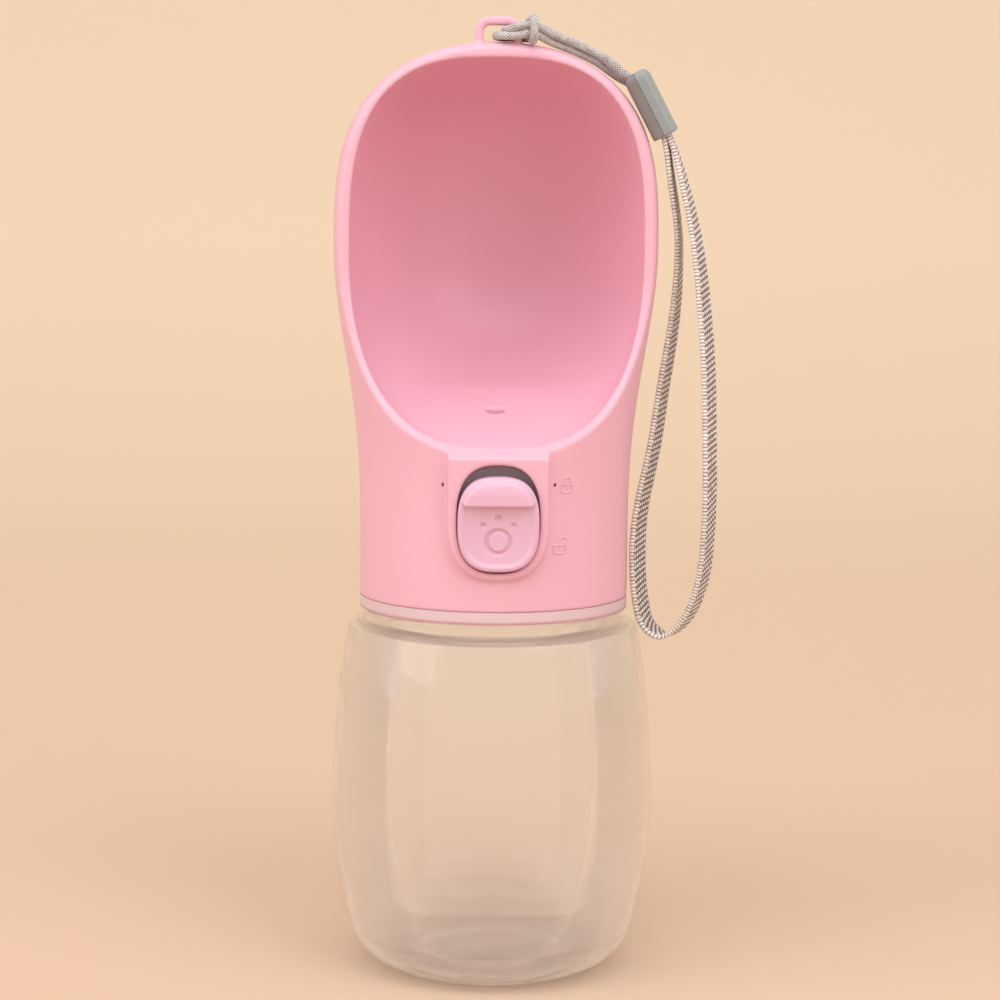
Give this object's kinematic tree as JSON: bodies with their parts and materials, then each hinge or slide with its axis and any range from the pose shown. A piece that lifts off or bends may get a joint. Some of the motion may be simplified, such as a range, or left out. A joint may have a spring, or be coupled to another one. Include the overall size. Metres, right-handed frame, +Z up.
{
  "type": "dog travel water bottle",
  "caption": "Pet travel bottle: clear container under a screw-on head with a scoop-shaped drinking cup, a push-button valve that slides to lock, and a wrist lanyard.",
  "frame": {"origin": "middle of the bottle's foot, on the surface that it stands on", "axes": "+Z up along the bottle's axis, the cup and the button face -Y, the lanyard hangs on the +X side"},
  "size_m": [0.0857, 0.0724, 0.2122],
  "materials": {
    "clear_plastic": "clear, glossy",
    "pale_plastic": "glossy",
    "pink_plastic": "soft gloss",
    "deep_pink_plastic": "soft gloss",
    "white_plastic": "satin",
    "grey_plastic": "satin",
    "white_silicone": "matt",
    "seal_rubber": "matt",
    "screw_steel": "bright",
    "cord_textile": "braided",
    "webbing_textile": "woven",
    "slider_plastic": "satin",
    "slider_plastic_dark": "satin"
  },
  "bodies": {
    "bottle": {"bottle": "clear_plastic"},
    "gasket": {"neck_gasket": "white_silicone"},
    "head": {"threaded_insert": "pale_plastic", "insert_screws": "screw_steel", "head_shell": "pink_plastic", "outlet_gasket": "white_silicone", "valve_body": "white_plastic", "valve_screws": "screw_steel", "inlet_gasket": "white_silicone", "valve_plug": "white_plastic", "plug_oring": "seal_rubber", "return_spring": "screw_steel", "lanyard_cord": "cord_textile", "slider_front": "slider_plastic", "slider_back": "slider_plastic_dark", "webbing_loop": "webbing_textile"},
    "plunger": {"lock_plate": "grey_plastic", "plunger": "white_plastic", "piston_oring": "seal_rubber", "valve_disc": "white_silicone", "disc_screw": "screw_steel"},
    "button": {"button_cap": "deep_pink_plastic"}
  },
  "joints": [
    {"name": "head_lift", "type": "slide", "parent": "bottle", "child": "gasket", "axis": [0, 0, 1], "range_m": [0, 0.005]},
    {"name": "head_turn", "type": "hinge", "parent": "gasket", "child": "head", "pos_m": [0, 0, 0], "axis": [0, 0, 1], "range_deg": [0, 360]},
    {"name": "button_press", "type": "slide", "parent": "head", "child": "plunger", "axis": [0, 1, 0], "range_m": [0, 0.003], "stiffness_N_per_m": 500, "springref_m": -0.004, "deforming": ["return_spring"]},
    {"name": "button_lock", "type": "slide", "parent": "plunger", "child": "button", "axis": [0, 0, 1], "range_m": [0, 0.002]}
  ],
  "couplings": [
    {"joint": "head_lift", "follows": "head_turn", "m_per_rad": 0.00079577}
  ]
}
